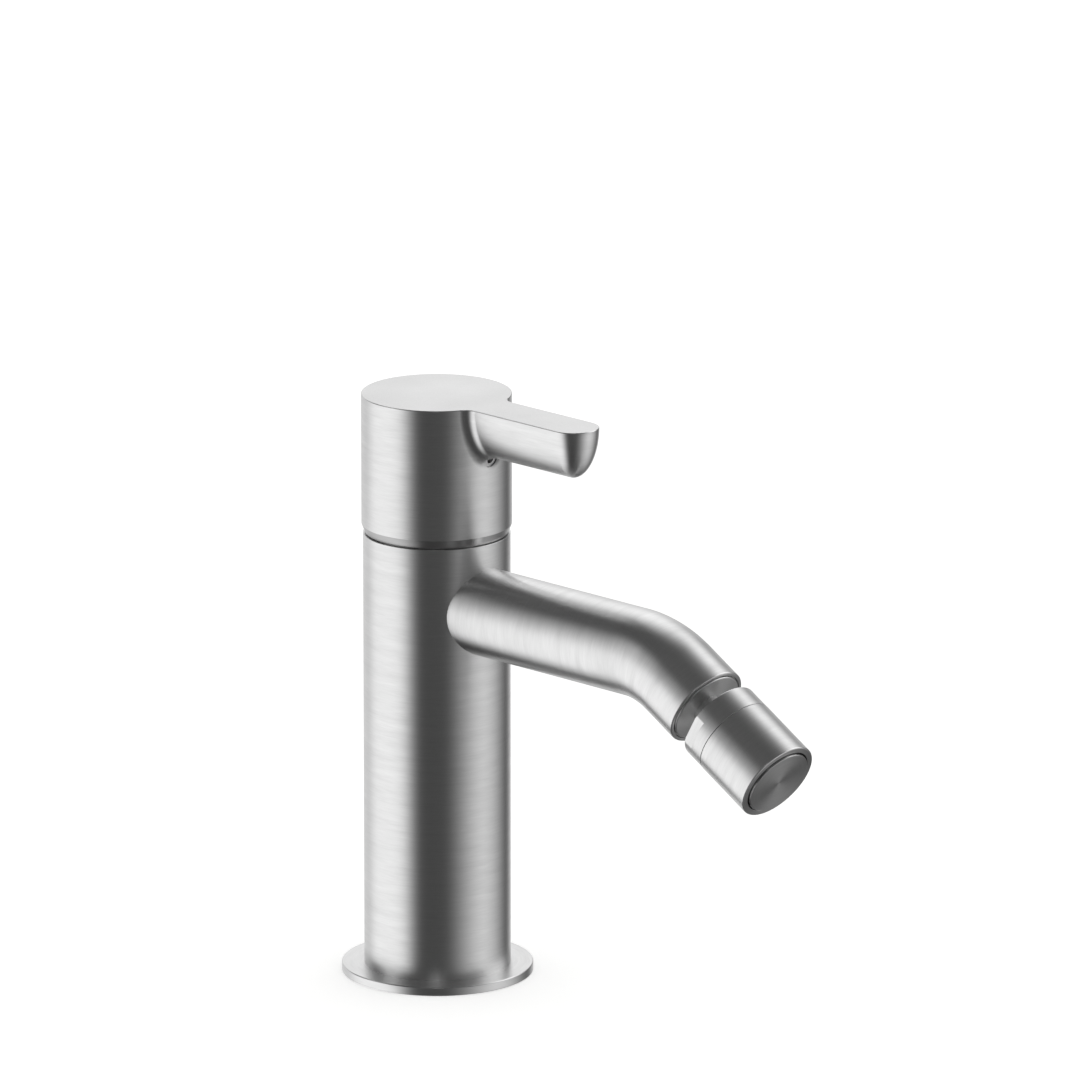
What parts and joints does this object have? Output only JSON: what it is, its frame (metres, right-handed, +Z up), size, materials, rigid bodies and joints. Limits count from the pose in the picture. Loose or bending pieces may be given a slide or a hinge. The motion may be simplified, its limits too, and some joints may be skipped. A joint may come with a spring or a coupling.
{
  "type": "bidet mixer",
  "caption": "Deck-mounted bidet mixer: upright tube body, turning head with a flush lever, bent spout tube and a ball-jointed nozzle, all in brushed metal.",
  "frame": {"origin": "mouth of the central fixing thread, at the centre of the underside that rests on the deck", "axes": "+Z up along the column's axis, the spout and the resting lever point to -Y, +X is to the right of a user who faces the spout"},
  "size_m": [0.0496, 0.1525, 0.1544],
  "materials": {
    "brushed_stainless": "brushed round the axis",
    "turned_stainless": "fine turned",
    "machined_brass": "machined",
    "black_rubber": "matt",
    "white_plastic": "moulded",
    "grey_plastic": "moulded",
    "white_ceramic": "lapped alumina",
    "screw_steel": "bright"
  },
  "bodies": {
    "fixed": {"base_flange": "brushed_stainless", "body_tube": "brushed_stainless", "spout_tube": "brushed_stainless", "neck_ring": "brushed_stainless", "end_plate": "turned_stainless", "swivel_stem": "turned_stainless", "deck_seal": "black_rubber", "plug_seal": "black_rubber", "supply_seals": "black_rubber", "block_seals": "black_rubber", "port_seals": "black_rubber", "disc_gasket": "black_rubber", "end_plate_seal": "black_rubber", "base_plug": "machined_brass", "valve_block": "machined_brass", "cartridge_nut": "machined_brass", "tie_rod": "screw_steel", "hot_supply_tube": "screw_steel", "cold_supply_tube": "screw_steel", "guide_bush": "white_plastic", "cartridge_base": "grey_plastic", "cartridge_housing": "grey_plastic", "fixed_disc": "white_ceramic"},
    "lever": {"handle": "brushed_stainless", "handle_insert": "machined_brass", "set_screw": "screw_steel", "spindle": "machined_brass", "spindle_seal": "black_rubber", "thrust_washer": "white_plastic", "disc_driver": "grey_plastic", "moving_disc": "white_ceramic"},
    "swivel_tilting": {"rear_ball_seat": "white_plastic"},
    "swivel_swinging": {"front_ball_seat": "white_plastic"},
    "nozzle": {"nozzle_collar": "brushed_stainless", "nozzle_sleeve": "brushed_stainless", "seat_seal": "black_rubber", "insert_seal": "black_rubber", "inlet_screen": "screw_steel", "flow_insert": "grey_plastic", "face_disc": "turned_stainless"}
  },
  "joints": [
    {"name": "handle_turn", "type": "hinge", "parent": "fixed", "child": "lever", "pos_m": [0, 0, 0.1365], "axis": [0, 0, 1], "range_deg": [-100, 0]},
    {"name": "nozzle_tilt", "type": "hinge", "parent": "fixed", "child": "swivel_tilting", "pos_m": [0, -0.10517, 0.0852], "axis": [1, 0, 0], "range_deg": [-15, 15]},
    {"name": "nozzle_swing", "type": "hinge", "parent": "swivel_tilting", "child": "swivel_swinging", "pos_m": [0, -0.10517, 0.0852], "axis": [0, -0.5, 0.866], "range_deg": [-15, 15]},
    {"name": "nozzle_spin", "type": "hinge", "parent": "swivel_swinging", "child": "nozzle", "pos_m": [0, -0.10517, 0.0852], "axis": [0, -0.866, -0.5], "continuous": true}
  ]
}
